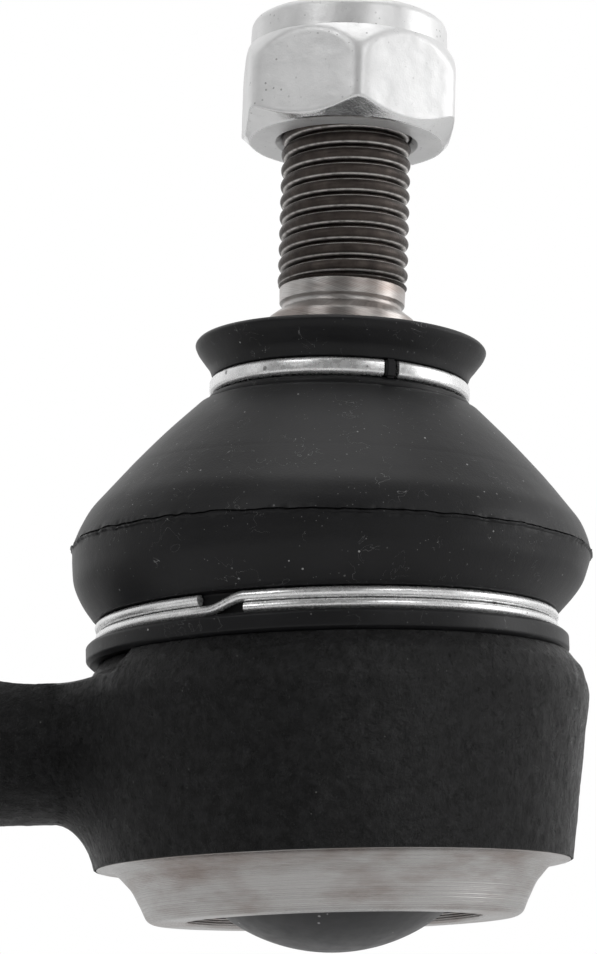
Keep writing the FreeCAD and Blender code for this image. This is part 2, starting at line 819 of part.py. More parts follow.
def make_dust_boot():
    """The rubber boot, bent to the stud's lean, with the small key that fills the clip's gap."""
    outside = bent_solid("BootOutside", boot_outside)
    inside = bent_solid("BootInside", boot_inside)
    key = doc.addObject("Part::Box", "BootKey")
    key.setExpression("Length", "Sizes.key_length")
    key.setExpression("Width", "Sizes.key_width")
    key.setExpression("Height", "Sizes.key_height")
    corner = FreeCAD.Vector(sizes["key_inner_radius"], -sizes["key_width"] / 2,
                            clip_middle_height - sizes["key_height"] / 2)
    turn = FreeCAD.Rotation(FreeCAD.Vector(0, 0, 1), clip_gap_turn - 90)
    key.Placement = (stud_axis * FreeCAD.Placement(FreeCAD.Vector(), turn)
                     * FreeCAD.Placement(corner, FreeCAD.Rotation()))
    keyed = doc.addObject("Part::Fuse", "BootKeyed")
    keyed.Base = outside
    keyed.Tool = key
    boot = doc.addObject("Part::Cut", "dust_boot")
    boot.Label = "dust_boot"
    boot.Base = keyed
    boot.Tool = inside
    doc.recompute()
    return boot


# ---------------------------------------------------------------- the boot's two rings

def make_clip_ring():
    """The open flat-wire ring that grips the boot round the stud."""
    body = new_body("boot_clip_ring")
    outline = profile_sketch(body, "ClipSection", [
        ("clip_inner_radius", "clip_low_height"),
        ("clip_outer_radius", "clip_low_height"),
        ("clip_outer_radius", "clip_high_height"),
        ("clip_inner_radius", "clip_high_height"),
    ])
    bent = revolve(body, "ClipWire", outline, "clip_turn")
    corners = ring_edges(bent.Shape, sizes["clip_outer_radius"], sizes["clip_low_height"])
    corners += ring_edges(bent.Shape, sizes["clip_outer_radius"], sizes["clip_high_height"])
    fillet(body, "ClipRound", bent, corners, "clip_edge_round")
    turn = clip_gap_turn - 90 + clip_gap_angle / 2
    body.Placement = stud_axis * FreeCAD.Placement(
        FreeCAD.Vector(), FreeCAD.Rotation(FreeCAD.Vector(0, 0, 1), turn))
    return body


def base_wire_height(angle):
    """Height of the base ring's wire: a flat turn, a short climb, then a second flat turn."""
    climb = (angle - base_climb_start) / (base_climb_end - base_climb_start)
    climb = min(max(climb, 0.0), 1.0)
    share = climb * climb * (3 - 2 * climb)
    return sizes["base_ring_low"] + share * sizes["base_ring_pitch"]


def make_base_ring():
    """The two-turn wire ring that grips the boot round the housing's neck."""
    radius = sheet.base_ring_radius
    points = []
    angle = base_wire_start
    while angle <= base_wire_end:
        turn = math.radians(angle)
        points.append(FreeCAD.Vector(radius * math.cos(turn), radius * math.sin(turn),
                                     base_wire_height(angle)))
        angle += base_wire_step
    curve = Part.BSplineCurve()
    curve.interpolate(points)
    path = Part.Wire(curve.toShape())
    section = Part.Wire(Part.makeCircle(sheet.base_wire_radius, points[0],
                                        curve.tangent(curve.FirstParameter)[0]))
    ring = doc.addObject("Part::Feature", "boot_base_ring")
    ring.Label = "boot_base_ring"
    ring.Shape = path.makePipeShell([section], True, True)
    ring.Placement = housing_axis
    doc.recompute()
    return ring


# ---------------------------------------------------------------- build, check and write

pieces = [
    make_housing(),
    make_bearing_shell(),
    make_lower_seat(),
    make_disc_spring(),
    make_end_cap(),
    make_base_ring(),
    make_dust_boot(),
    make_clip_ring(),
    make_ball_stud(),
    make_lock_nut(),
    make_nut_insert(),
]
doc.recompute()

for feature in doc.Objects:
    if "Invalid" in feature.State or "Error" in feature.State:
        raise ValueError("%s did not rebuild: %s" % (feature.Name, feature.State))

for piece in pieces:
    if piece.Shape.isNull() or not piece.Shape.isValid():
        raise ValueError(piece.Label + " has no valid shape")
    if len(piece.Shape.Solids) != 1:
        raise ValueError("%s has %d solids" % (piece.Label, len(piece.Shape.Solids)))
    piece.Shape.exportStep("parts/%s.step" % piece.Label)
    print(piece.Label, round(piece.Shape.Volume, 1), "mm3")
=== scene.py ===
"""Looks for the tie rod end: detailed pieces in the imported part's own frame, then camera and light.

Builders work in millimetres; link() turns them into metres.
"""

import json
import math

import bmesh
import bpy
import numpy as np
from mathutils import Matrix, Quaternion, Vector


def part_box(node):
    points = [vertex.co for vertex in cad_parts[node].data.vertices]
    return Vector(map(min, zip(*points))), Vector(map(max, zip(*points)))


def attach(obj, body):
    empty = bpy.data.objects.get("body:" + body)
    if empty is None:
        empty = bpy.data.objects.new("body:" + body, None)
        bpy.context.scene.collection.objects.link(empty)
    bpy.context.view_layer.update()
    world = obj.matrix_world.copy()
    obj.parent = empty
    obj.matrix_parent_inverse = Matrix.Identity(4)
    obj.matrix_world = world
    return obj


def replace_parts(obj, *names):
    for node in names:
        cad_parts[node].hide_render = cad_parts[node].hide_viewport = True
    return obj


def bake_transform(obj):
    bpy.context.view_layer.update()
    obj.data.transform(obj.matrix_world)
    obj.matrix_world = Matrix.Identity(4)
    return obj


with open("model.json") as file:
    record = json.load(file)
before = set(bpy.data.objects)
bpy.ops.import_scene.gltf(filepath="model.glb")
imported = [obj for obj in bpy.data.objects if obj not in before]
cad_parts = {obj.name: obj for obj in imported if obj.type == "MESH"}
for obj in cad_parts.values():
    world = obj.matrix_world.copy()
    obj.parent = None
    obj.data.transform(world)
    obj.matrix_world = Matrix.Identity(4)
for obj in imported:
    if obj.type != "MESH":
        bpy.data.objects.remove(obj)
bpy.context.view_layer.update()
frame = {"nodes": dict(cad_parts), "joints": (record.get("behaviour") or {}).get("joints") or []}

MM = 0.001
TURN = 2 * math.pi


def node_box(node):
    """A node's box in millimetres: its low corner and its high corner."""
    low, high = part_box(node)
    return Vector(low) / MM, Vector(high) / MM


# ---------------------------------------------------------------- sizes read from the frame

housing_low, housing_high = node_box("housing")
spin = next(joint for joint in frame["joints"] if joint["name"] == "stud_spin")
lean = math.atan2(spin["axis"][0], spin["axis"][2])

rim_bottom = housing_low[2]
neck_top = housing_high[2]
shank_end = -housing_low[0]
wall_top_radius = housing_high[1]

# ---------------------------------------------------------------- sizes of the looks, in mm

# The drum's outside, from its machined underside up to the neck.
annulus_height = -11.2
annulus_inner_radius = 19.7
cove_radius = 19.0
cove_height = -11.9
rim_radius = 16.6
wall_bottom_radius = 21.3
wall_top_height = 3.6
shoulder_low_radius = 22.75
shoulder_low_height = 5.7
shoulder_radius = 21.7
shoulder_height = 7.1
neck_radius = 18.7
neck_flange_height = 10.7
neck_flange_radius = 19.25

# The drum's inside, from the rolled lip up to the mouth.
lip_hole_radius = 13.2
lip_top = -14.5
pocket_radius = 14.85
pocket_top = -13.0
bore_radius = 14.1
bore_top = 6.0
mouth_radius = 12.0
mouth_height = 8.4
mouth_top_radius = 14.3

# The shank and the places where it meets the drum.
shank_radius = 7.0
shank_root_start = 18.0
shank_root_end = 37.8
shank_thread_start = 37.4
shank_thread_depth = 0.86
shank_pitch = 1.5
flare_width = 2.9
flare_length = 4.6
ledge_height = 4.95
ledge_depth = 1.3
scoop_radius = 15.4
scoop_centre = -26.0
scoop_height = 20.45
scoop_half_width = 12.5

# The end cap.
dome_radius = 16.0
dome_centre = -2.8
cap_edge = 14.8
cap_face = -14.4
cap_top = -13.05
cap_sheet = 1.3
cap_blend = 0.5

# The boot: its bead, the groove for the base ring, its belly, and the top that grips the stud.
boot_bottom = 7.15
bead_radius = 21.75
groove_radius = 19.88
groove_low = 9.0
groove_high = 11.0
belly_foot_radius = 21.2
belly_foot_height = 11.4
equator_radius = 23.4
parting_height = 17.0
flash = 0.16
boot_split = 23.4
boot_split_radius = 19.38
boot_wall = 1.9
clip_groove_radius = 10.68
lip_top_height = 36.3
bend_low = 9.5
bend_high = 22.0

# The clip ring and its gap, and the base ring's two turns.
clip_middle = 32.0
clip_radius = 11.325
clip_half_width = 0.575
clip_half_height = 0.75
clip_spring = 0.05
clip_gap_turn = math.radians(18.5 - 90)
clip_gap = math.radians(7.0)
base_ring_radius = 20.42
base_ring_wire = 0.475
base_ring_low = 9.5
base_ring_rise = 1.01
base_ring_start = math.radians(-114)
base_ring_end = math.radians(594)
climb_start = math.radians(236)
climb_end = math.radians(246)

# The stud.
ball_radius = 12.0
ball_flat_radius = 5.02
stud_neck_radius = 5.6
taper_low = 18.8
taper_low_radius = 7.9
taper_top = 38.5
taper_top_radius = 6.8
relief_radius = 5.45
land_radius = 5.78
stud_radius = 5.98
stud_pitch = 1.5
stud_thread_depth = 0.92
thread_start = 41.55
stud_top = 66.5

# The nut.
nut_bottom = 55.5
nut_turn = math.radians(1.5)
nut_flats = 19.0
nut_bevel = 9.0
nut_bevel_slope = 1.05
nut_crown_start = 5.0
nut_crown_rise = 1.6
nut_hex = 8.8
nut_height = 11.6
nut_collar = 9.15
nut_hole = 6.9
nut_bore = 6.05
insert_radius = 7.8
insert_low = 8.9
insert_high = 11.3

floor_height = -62.0


# ---------------------------------------------------------------- mesh helpers

def link(name, points, faces, smooth=True):
    """An object from points in millimetres and faces."""
    mesh = bpy.data.meshes.new(name)
    mesh.from_pydata((np.asarray(points) * MM).tolist(), [], faces)
    mesh.validate()
    mesh.update()
    mesh.polygons.foreach_set("use_smooth", [smooth] * len(mesh.polygons))
    mesh.set_sharp_from_angle(angle=math.radians(38))
    thing = bpy.data.objects.new(name, mesh)
    bpy.context.scene.collection.objects.link(thing)
    return thing


def rounded(corners, steps=6):
    """A profile through (radius, height, rounding) corners, with an arc at each rounded one."""
    count = len(corners)
    path = []
    for index, (x, y, rounding) in enumerate(corners):
        here = np.array((x, y), float)
        if rounding <= 0:
            path.append(here)
            continue
        before = np.array(corners[index - 1][:2], float)
        after = np.array(corners[(index + 1) % count][:2], float)
        back = before - here
        ahead = after - here
        back_length = np.linalg.norm(back)
        ahead_length = np.linalg.norm(ahead)
        back /= back_length
        ahead /= ahead_length
        half = math.acos(np.clip(back @ ahead, -1, 1)) / 2
        reach = min(rounding / math.tan(half), 0.49 * back_length, 0.49 * ahead_length)
        radius = reach * math.tan(half)
        centre = here + (back + ahead) / np.linalg.norm(back + ahead) * radius / math.sin(half)
        first = here + back * reach - centre
        last = here + ahead * reach - centre
        first_angle = math.atan2(first[1], first[0])
        sweep = math.atan2(last[1], last[0]) - first_angle
        sweep = (sweep + math.pi) % TURN - math.pi
        for step in range(steps + 1):
            angle = first_angle + sweep * step / steps
            path.append(centre + radius * np.array((math.cos(angle), math.sin(angle))))
    return np.array(path)


def resampled(path, spacing, closed):
    """The same profile with extra points, so that no step is longer than the spacing."""
    points = []
    count = len(path)
    last = count if closed else count - 1
    for index in range(last):
        start = path[index]
        end = path[(index + 1) % count]
        pieces = max(1, int(math.ceil(np.linalg.norm(end - start) / spacing)))
        for piece in range(pieces):
            points.append(start + (end - start) * piece / pieces)
    if not closed:
        points.append(path[-1])
    return np.array(points)


def grid_faces(rows, columns, wrap_rows, wrap_columns):
    """Quads over a grid of points stored row by row."""
    faces = []
    for row in range(rows if wrap_rows else rows - 1):
        next_row = (row + 1) % rows
        for column in range(columns if wrap_columns else columns - 1):
            next_column = (column + 1) % columns
            faces.append((row * columns + column, row * columns + next_column,
                          next_row * columns + next_column, next_row * columns + column))
    return faces


def lathe_points(path, segments):
    """Points of a profile turned about Z, row by row."""
    angles = np.arange(segments) * TURN / segments
    radius = path[:, 0][:, None]
    x = radius * np.cos(angles)
    y = radius * np.sin(angles)
    z = np.repeat(path[:, 1][:, None], segments, axis=1)
    return np.stack([x, y, z], axis=-1).reshape(-1, 3)


def lathe(name, path, segments=256, closed=True, shape=None):
    """A profile turned about Z; shape may then move the points."""
    points = lathe_points(path, segments)
    if shape is not None:
        points = shape(points)
    faces = grid_faces(len(path), segments, closed, True)
    return link(name, points, faces)


def sweep(name, path, outward, section, closed_path=False):
    """A section, given as (out, up) offsets, carried along a path that lies round Z."""
    count = len(path)
    points = []
    for index, centre in enumerate(path):
        for out, up in section:
            points.append(centre + outward[index] * out + np.array((0, 0, up)))
    faces = grid_faces(count, len(section), closed_path, True)
    if not closed_path:
        faces.append(tuple(reversed(range(len(section)))))
        faces.append(tuple(range((count - 1) * len(section), count * len(section))))
    return link(name, points, faces)


# ---------------------------------------------------------------- smooth random shapes

def lattice(seed, size=64):
    """A seeded block of random numbers that value_noise reads."""
    return np.random.default_rng(seed).random((size, size, size)) * 2 - 1


LATTICES = {}


def value_noise(points, scale, seed):
    """Smooth noise between -1 and 1 at points, with features about 1 / scale across."""
    if seed not in LATTICES:
        LATTICES[seed] = lattice(seed)
    block = LATTICES[seed]
    size = block.shape[0]
    place = np.asarray(points) * scale
    base = np.floor(place).astype(int)
    share = place - base
    share = share * share * (3 - 2 * share)
    total = np.zeros(len(place))
    for corner in range(8):
        step = np.array([(corner >> axis) & 1 for axis in range(3)])
        index = (base + step) % size
        weight = np.prod(np.where(step == 1, share, 1 - share), axis=1)
        total += weight * block[index[:, 0], index[:, 1], index[:, 2]]
    return total


def layered_noise(points, scale, seed, layers=3):
    """Several octaves of value_noise."""
    total = np.zeros(len(points))
    for layer in range(layers):
        total += value_noise(points, scale * 2 ** layer, seed + layer) / 2 ** layer
    return total


# ---------------------------------------------------------------- the stud's lean

def turned(points, angle):
    """Points turned about Y through the ball's centre."""
    cosine = np.cos(angle)
    sine = np.sin(angle)
    x = points[:, 0] * cosine + points[:, 2] * sine
    z = points[:, 2] * cosine - points[:, 0] * sine
    return np.stack([x, points[:, 1], z], axis=-1)


def leaning(points):
    """Points given along the stud's own axis, put where the stud rests."""
    return turned(points, lean)


def bent(points):
    """Boot points: square to the housing below, square to the stud above."""
    share = np.clip((points[:, 2] - bend_low) / (bend_high - bend_low), 0, 1)
    share = share * share * (3 - 2 * share)
    return turned(points, lean * share)


def dress(thing, material, body):
    """Give a piece its finish and the body it moves with."""
    thing.data.materials.append(material)
    if body is not None:
        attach(thing, body)
    return thing


# ---------------------------------------------------------------- material helpers

class Nodes:
    """Short names for building a node tree."""

    def __init__(self, name):
        self.material = bpy.data.materials.new(name)
        self.material.use_nodes = True
        self.tree = self.material.node_tree
        self.shader = self.tree.nodes["Principled BSDF"]
        self.place = self.tree.nodes.new("ShaderNodeTexCoord").outputs["Object"]

    def add(self, kind, inputs=None, **settings):
        """A node with its settings, and its inputs set to numbers or linked to sockets."""
        node = self.tree.nodes.new(kind)
        for key, value in settings.items():
            setattr(node, key, value)
        for key, value in (inputs or {}).items():
            self.feed(node.inputs[key], value)
        return node

    def feed(self, socket, value):
        """Link a socket, or set a constant."""
        if isinstance(value, bpy.types.NodeSocket):
            self.tree.links.new(value, socket)
        else:
            socket.default_value = value

    def surface(self, **values):
        """Set the principled shader's own sockets by name."""
        for key, value in values.items():
            self.feed(self.shader.inputs[key.replace("_", " ")], value)

    def noise(self, scale, detail=4.0, roughness=0.55, place=None):
        """A noise texture's value, with the scale in features per metre."""
        node = self.add("ShaderNodeTexNoise", {
            "Vector": place or self.place, "Scale": scale, "Detail": detail,
            "Roughness": roughness})
        return node.outputs["Fac"]

    def ramp(self, value, *stops):
        """A colour ramp through (position, grey or colour) stops."""
        node = self.add("ShaderNodeValToRGB", {"Fac": value})
        elements = node.color_ramp.elements
        while len(elements) < len(stops):
            elements.new(0.5)
        for element, (position, tone) in zip(elements, stops):
            element.position = position
            element.color = (tone, tone, tone, 1) if isinstance(tone, float) else (*tone, 1)
        return node.outputs["Color"]

    def mix(self, share, first, second):
        """A colour mix."""
        node = self.tree.nodes.new("ShaderNodeMix")
        node.data_type = "RGBA"
        self.feed(node.inputs["Factor"], share)
        for socket, tone in ((node.inputs[6], first), (node.inputs[7], second)):
            if isinstance(tone, tuple):
                tone = (*tone, 1)
            self.feed(socket, tone)
        return node.outputs[2]

    def math(self, operation, first, second=0.0):
        """One arithmetic step."""
        node = self.tree.nodes.new("ShaderNodeMath")
        node.operation = operation
        self.feed(node.inputs[0], first)
        self.feed(node.inputs[1], second)
        return node.outputs[0]

    def shaded(self, tone, shade):
        """A colour multiplied by a grey."""
        node = self.tree.nodes.new("ShaderNodeMix")
        node.data_type = "RGBA"
        node.blend_type = "MULTIPLY"
        node.inputs["Factor"].default_value = 1.0
        self.feed(node.inputs[6], tone)
        self.feed(node.inputs[7], shade)
        return node.outputs[2]

    def bump(self, height, distance, strength=1.0, under=None):
        """A bump whose depth is in metres."""
        inputs = {"Height": height, "Distance": distance, "Strength": strength}
        if under is not None:
            inputs["Normal"] = under
        return self.add("ShaderNodeBump", inputs).outputs["Normal"]

    def stretched(self, x, y, z):
        """Object coordinates scaled along each axis."""
        node = self.add("ShaderNodeMapping", {"Vector": self.place, "Scale": (x, y, z)})
        return node.outputs["Vector"]

    def specks(self, scale, share, size):
        """Small round specks: one in a share of the cells, each a part of its cell."""
        cell = self.add("ShaderNodeTexVoronoi", {"Vector": self.place, "Scale": scale})
        near = self.math("LESS_THAN", cell.outputs["Distance"], size)
        split = self.add("ShaderNodeSeparateColor", {"Color": cell.outputs["Color"]})
        chosen = self.math("LESS_THAN", split.outputs[0], share)
        return self.math("MULTIPLY", near, chosen)

    def fibres(self, scale, share, width):
        """Fine broken threads of lint, as the zero line of a warped noise."""
        line = self.add("ShaderNodeTexNoise", {
            "Vector": self.place, "Scale": scale, "Detail": 2.0, "Distortion": 1.2})
        centred = self.math("ABSOLUTE", self.math("SUBTRACT", line.outputs["Fac"], 0.5))
        thin = self.math("LESS_THAN", centred, width)
        patch = self.math("LESS_THAN", self.noise(scale * 0.9, 1.0), share)
        return self.math("MULTIPLY", thin, patch)


def rubber_material():
    """Matte black moulded rubber with lint, dust specks and a faint grain."""
    n = Nodes("boot_rubber")
    tone = n.ramp(n.noise(180, 5), (0.35, (0.0065, 0.0065, 0.0072)),
                  (0.7, (0.010, 0.010, 0.011)))
    dusty = n.ramp(n.noise(700, 2), (0.45, 0.0), (0.6, 1.0))
    dust = n.math("MULTIPLY", n.specks(1700, 0.05, 0.16), dusty)
    fine_dust = n.specks(4200, 0.05, 0.2)
    lint = n.fibres(420, 0.42, 0.0014)
    faint = n.math("MAXIMUM", n.math("MULTIPLY", fine_dust, 0.35), n.math("MULTIPLY", lint, 0.5))
    marks = n.math("MAXIMUM", dust, faint)
    n.surface(Base_Color=n.mix(n.math("MULTIPLY", marks, 0.6), tone, (0.5, 0.5, 0.5)),
              Roughness=0.42, Specular_IOR_Level=0.24)
    grain = n.bump(n.noise(5200, 4), 0.00003, 0.5)
    n.surface(Normal=n.bump(n.noise(420, 4), 0.00008, 0.5, grain))
    return n.material


def paint_material():
    """Black paint over a rough forging: pits, lumps, vertical drag marks and pale dust."""
    n = Nodes("housing_paint")
    tone = n.ramp(n.noise(1100, 9, 0.8), (0.44, (0.0005, 0.0005, 0.0006)),
                  (0.62, (0.020, 0.020, 0.021)))
    dust = n.specks(2400, 0.035, 0.15)
    fine_dust = n.specks(4600, 0.05, 0.2)
    patch = n.ramp(n.noise(260, 3), (0.42, 0.1), (0.62, 1.0))
    marks = n.math("MULTIPLY", n.math("MAXIMUM", dust, n.math("MULTIPLY", fine_dust, 0.4)), patch)
    n.surface(Base_Color=n.mix(n.math("MULTIPLY", marks, 0.6), tone, (0.5, 0.5, 0.48)),
              Roughness=n.ramp(n.noise(900, 5), (0.3, 0.24), (0.7, 0.42)),
              Specular_IOR_Level=0.26)
    pits = n.bump(n.noise(1500, 7, 0.78), 0.0010, 1.0)
    drag = n.noise(1.0, 4, 0.6, n.stretched(900, 900, 160))
    lumps = n.bump(n.noise(420, 4, 0.6), 0.0007, 1.0, pits)
    n.surface(Normal=n.bump(drag, 0.00018, 0.8, lumps))
    return n.material


def turned_material(name, tone, roughness, pitch, depth):
    """Bare machined steel with rings left by the tool, about Z."""
    n = Nodes(name)
    split = n.add("ShaderNodeSeparateXYZ", {"Vector": n.place})
    x, y, z = split.outputs
    square = n.math("ADD", n.math("MULTIPLY", x, x), n.math("MULTIPLY", y, y))
    along = n.math("ADD", n.math("SQRT", square), z)
    phase = n.math("MULTIPLY", along, TURN / pitch)
    wave = n.math("SINE", phase)
    uneven = n.add("ShaderNodeCombineXYZ", {"X": n.math("MULTIPLY", along, 9000.0)})
    ridges = n.noise(1.0, 5, 0.7, uneven.outputs["Vector"])
    stain = n.noise(1.0, 5, 0.6, n.stretched(110, 110, 420))
    warm = n.mix(n.ramp(stain, (0.42, 0.0), (0.66, 0.8)), tone,
                 (tone[0] * 0.55, tone[1] * 0.46, tone[2] * 0.42))
    shade = n.ramp(ridges, (0.3, 0.52), (0.7, 1.0))
    n.surface(Base_Color=n.shaded(warm, shade), Metallic=1.0)
    n.surface(Roughness=n.ramp(ridges, (0.3, roughness * 0.75), (0.7, roughness * 1.25)))
    rings = n.bump(n.math("MULTIPLY", wave, 0.5), depth, 0.5)
    n.surface(Normal=n.bump(ridges, depth * 1.4, 0.7, rings))
    return n.material


def bright_wire_material():
    """Drawn spring wire: bright, with fine drawn lines and a few dark nicks."""
    n = Nodes("ring_wire")
    nicks = n.math("MULTIPLY", n.specks(900, 0.04, 0.2), 0.7)
    cloud = n.ramp(n.noise(420, 5), (0.35, 0.80), (0.7, 0.93))
    n.surface(Base_Color=n.mix(nicks, cloud, (0.10, 0.10, 0.10)), Metallic=0.72)
    n.surface(Roughness=n.ramp(n.noise(1800, 4), (0.3, 0.20), (0.7, 0.34)))
    n.surface(Normal=n.bump(n.noise(1.0, 4, 0.6, n.stretched(500, 500, 9000)), 0.00003, 0.5))
    return n.material


def zinc_material():
    """Satin zinc plating with fine pits, rubbed patches and scratches."""
    n = Nodes("nut_zinc")
    polish = n.add("ShaderNodeAttribute", attribute_name="polish").outputs["Fac"]
    cloud = n.ramp(n.noise(260, 7, 0.65), (0.3, 0.72), (0.7, 0.82))
    patch = n.ramp(n.noise(230, 3), (0.48, 0.0), (0.62, 1.0))
    pits = n.math("MULTIPLY", n.specks(3000, 0.12, 0.3), patch)
    scratches = n.fibres(700, 0.40, 0.0035)
    tone = n.mix(n.math("MULTIPLY", pits, 0.6), cloud, (0.16, 0.16, 0.16))
    n.surface(Base_Color=n.mix(n.math("MULTIPLY", scratches, 0.35), tone, (0.30, 0.30, 0.30)),
              Metallic=n.math("ADD", 0.6, n.math("MULTIPLY", polish, 0.4)),
              Roughness=n.math("SUBTRACT", n.ramp(n.noise(900, 5), (0.3, 0.36), (0.7, 0.48)),
                               n.math("MULTIPLY", polish, 0.24)))
    fine = n.bump(n.noise(5200, 5, 0.65), 0.00002, 0.5)
    n.surface(Normal=n.bump(n.noise(520, 4), 0.00005, 0.4, fine))
    return n.material


def phosphate_material():
    """Dark brown-black phosphate on the thread, worn to bare metal along its crest edges, which are
    also painted near-white there as a painted highlight.
    """
    n = Nodes("stud_phosphate")
    wear_and_highlight = n.add("ShaderNodeAttribute", attribute_name="wear_and_highlight").outputs["Fac"]
    dark = n.ramp(n.noise(700, 6), (0.3, (0.030, 0.024, 0.021)), (0.75, (0.085, 0.070, 0.062)))
    # Painted highlight over real wear: the crest edges get a near-white colour and a low metallic, so
    # they read bright as if catching light.
    patchy = n.math("MULTIPLY", wear_and_highlight, n.ramp(n.noise(1500, 4), (0.25, 0.35), (0.55, 1.0)))
    n.surface(Base_Color=n.mix(patchy, dark, (0.90, 0.87, 0.84)),
              Metallic=n.math("SUBTRACT", 0.8, n.math("MULTIPLY", patchy, 0.65)))
    n.surface(Roughness=n.ramp(n.noise(1100, 4), (0.3, 0.32), (0.7, 0.5)))
    n.surface(Normal=n.bump(n.noise(2600, 6, 0.7), 0.00006, 0.8))
    return n.material


def cap_material():
    """The end cap's smooth dark coating."""
    n = Nodes("cap_steel")
    tone = n.ramp(n.noise(260, 5), (0.3, (0.018, 0.018, 0.020)), (0.75, (0.030, 0.030, 0.031)))
    dust = n.math("MULTIPLY", n.specks(1500, 0.05, 0.2), 0.5)
    n.surface(Base_Color=n.mix(dust, tone, (0.5, 0.5, 0.5)), Metallic=0.35)
    n.surface(Roughness=n.ramp(n.noise(800, 4), (0.3, 0.36), (0.7, 0.48)))
    n.surface(Normal=n.bump(n.noise(1900, 4), 0.00002, 0.4))
    return n.material


def plastic_material(name, tone):
    """Natural moulded plastic with a faint grain."""
    n = Nodes(name)
    shaded = tuple(channel * 0.9 for channel in tone)
    n.surface(Base_Color=n.ramp(n.noise(300, 4), (0.3, tone), (0.7, shaded)))
    n.surface(Roughness=0.45)
    n.surface(Normal=n.bump(n.noise(2400, 4), 0.00002, 0.4))
    return n.material


def spring_material():
    """Oiled spring steel."""
    n = Nodes("spring_steel")
    n.surface(Base_Color=n.ramp(n.noise(500, 5), (0.3, 0.10), (0.7, 0.20)), Metallic=1.0)
    n.surface(Roughness=n.ramp(n.noise(900, 4), (0.3, 0.25), (0.7, 0.4)))
    n.surface(Normal=n.bump(n.noise(2600, 4), 0.00002, 0.5))
    return n.material


def floor_material():
    """The studio's plain pale floor."""
    n = Nodes("studio_floor")
    n.surface(Base_Color=n.ramp(n.noise(12, 3), (0.3, 0.74), (0.7, 0.78)), Roughness=0.8)
    return n.material


# ---------------------------------------------------------------- housing

def ease(share):
    """A smooth step from 0 to 1."""
    share = np.clip(share, 0, 1)
    return share * share * (3 - 2 * share)


def forged(points):
    """Drum points: flared to meet the shank, hollowed above it and slightly uneven."""
    x, y, z = points.T.copy()
    spread = np.hypot(x, y)
    outer = (spread > wall_bottom_radius - 0.6) & (z < shoulder_height + 0.01)
    shank_side = outer & (x < 0)

    # The root fillet is part of an ellipse, so it leaves the wall and the shank smoothly.
    from_axis = np.hypot(y, z)
    reach = np.clip((shank_radius + flare_length - from_axis) / flare_length, 0, 1)
    flare = flare_width * (1 - np.sqrt(1 - reach ** 2)) * ease((ledge_height - z) / 0.3 + 1)
    x = np.where(shank_side, x - flare, x)

    # Beside the shank the wall stands back above a ledge, which runs into the shank's flat.
    beside = ease((scoop_half_width - np.abs(y)) / 0.8) * shank_side
    back = 1 - ledge_depth / wall_top_radius * ease((z - ledge_height) / 0.9) * beside
    x = x * back
    y = y * back

    out = np.stack([x / np.maximum(spread, 1), y / np.maximum(spread, 1), 0 * z], axis=-1)
    uneven = 0.05 * layered_noise(points, 0.35, 11) + 0.036 * layered_noise(points, 1.3, 15)
    moved = np.stack([x, y, z], axis=-1)
    return moved + out * (uneven * outer)[:, None]


def make_forging():
    """The painted drum, from the sharp paint edge up to the grooved neck, and its bore."""
    paint_edge = wall_bottom_radius - 0.12
    path = rounded([
        (bore_radius, annulus_height + 0.4, 0), (paint_edge, annulus_height + 0.4, 0),
        (paint_edge, annulus_height, 0.05), (wall_bottom_radius, annulus_height + 0.1, 0.08),
        (wall_top_radius, wall_top_height, 3.0), (shoulder_low_radius, shoulder_low_height, 1.2),
        (shoulder_radius, shoulder_height, 0.25), (neck_radius, shoulder_height, 0),
        (neck_radius, neck_flange_height, 0), (neck_flange_radius, neck_flange_height, 0.1),
        (neck_flange_radius, neck_top - 0.4, 0.15), (neck_radius + 0.1, neck_top, 0.1),
        (mouth_top_radius, neck_top, 0.2), (mouth_radius, mouth_height, 0.3),
        (bore_radius, bore_top, 0.2)])
    return lathe("housing_forging", resampled(path, 0.25, True), 1080, shape=forged)


def make_rim():
    """The bare machined underside: the annulus, its fillet and the rolled lip."""
    path = rounded([
        (bore_radius, annulus_height + 1.2, 0), (wall_bottom_radius - 0.35, annulus_height + 1.2, 0),
        (wall_bottom_radius - 0.15, annulus_height, 0.08),
        (annulus_inner_radius, annulus_height, 0.9), (cove_radius, cove_height, 0.6),
        (rim_radius + 1.4, rim_bottom + 3.0, 3.0), (rim_radius + 0.6, rim_bottom + 1.4, 2.0),
        (rim_radius, rim_bottom, 1.0), (lip_hole_radius, rim_bottom, 0.3),
        (lip_hole_radius, lip_top, 0.1), (pocket_radius, lip_top, 0),
        (pocket_radius, pocket_top, 0), (bore_radius, pocket_top, 0)])

    def worked(points):
        """Faint waves left by the swaging roll."""
        spread = np.hypot(points[:, 0], points[:, 1])
        out = np.stack([points[:, 0] / spread, points[:, 1] / spread, 0 * spread], axis=-1)
        return points + out * (0.025 * layered_noise(points, 0.3, 21))[:, None]

    return lathe("housing_rim", resampled(path, 0.22, True), 900, shape=worked)


def thread_depth(phase):
    """Depth of the groove at a phase, as a share: broad rounded crests and narrow roots."""
    from_crest = np.abs((phase + 0.5) % 1.0 - 0.5)
    rounding = 0.30 * (np.minimum(from_crest, 0.34) / 0.34) ** 2
    return rounding + 0.70 * ease((from_crest - 0.33) / 0.12)


def crest_edge(phase):
    """How near a phase is to a crest's edge, where the thread is worn and carries a painted highlight.
    """
    from_crest = np.abs((phase + 0.5) % 1.0 - 0.5)
    return np.exp(-((from_crest - 0.335) / 0.036) ** 2)


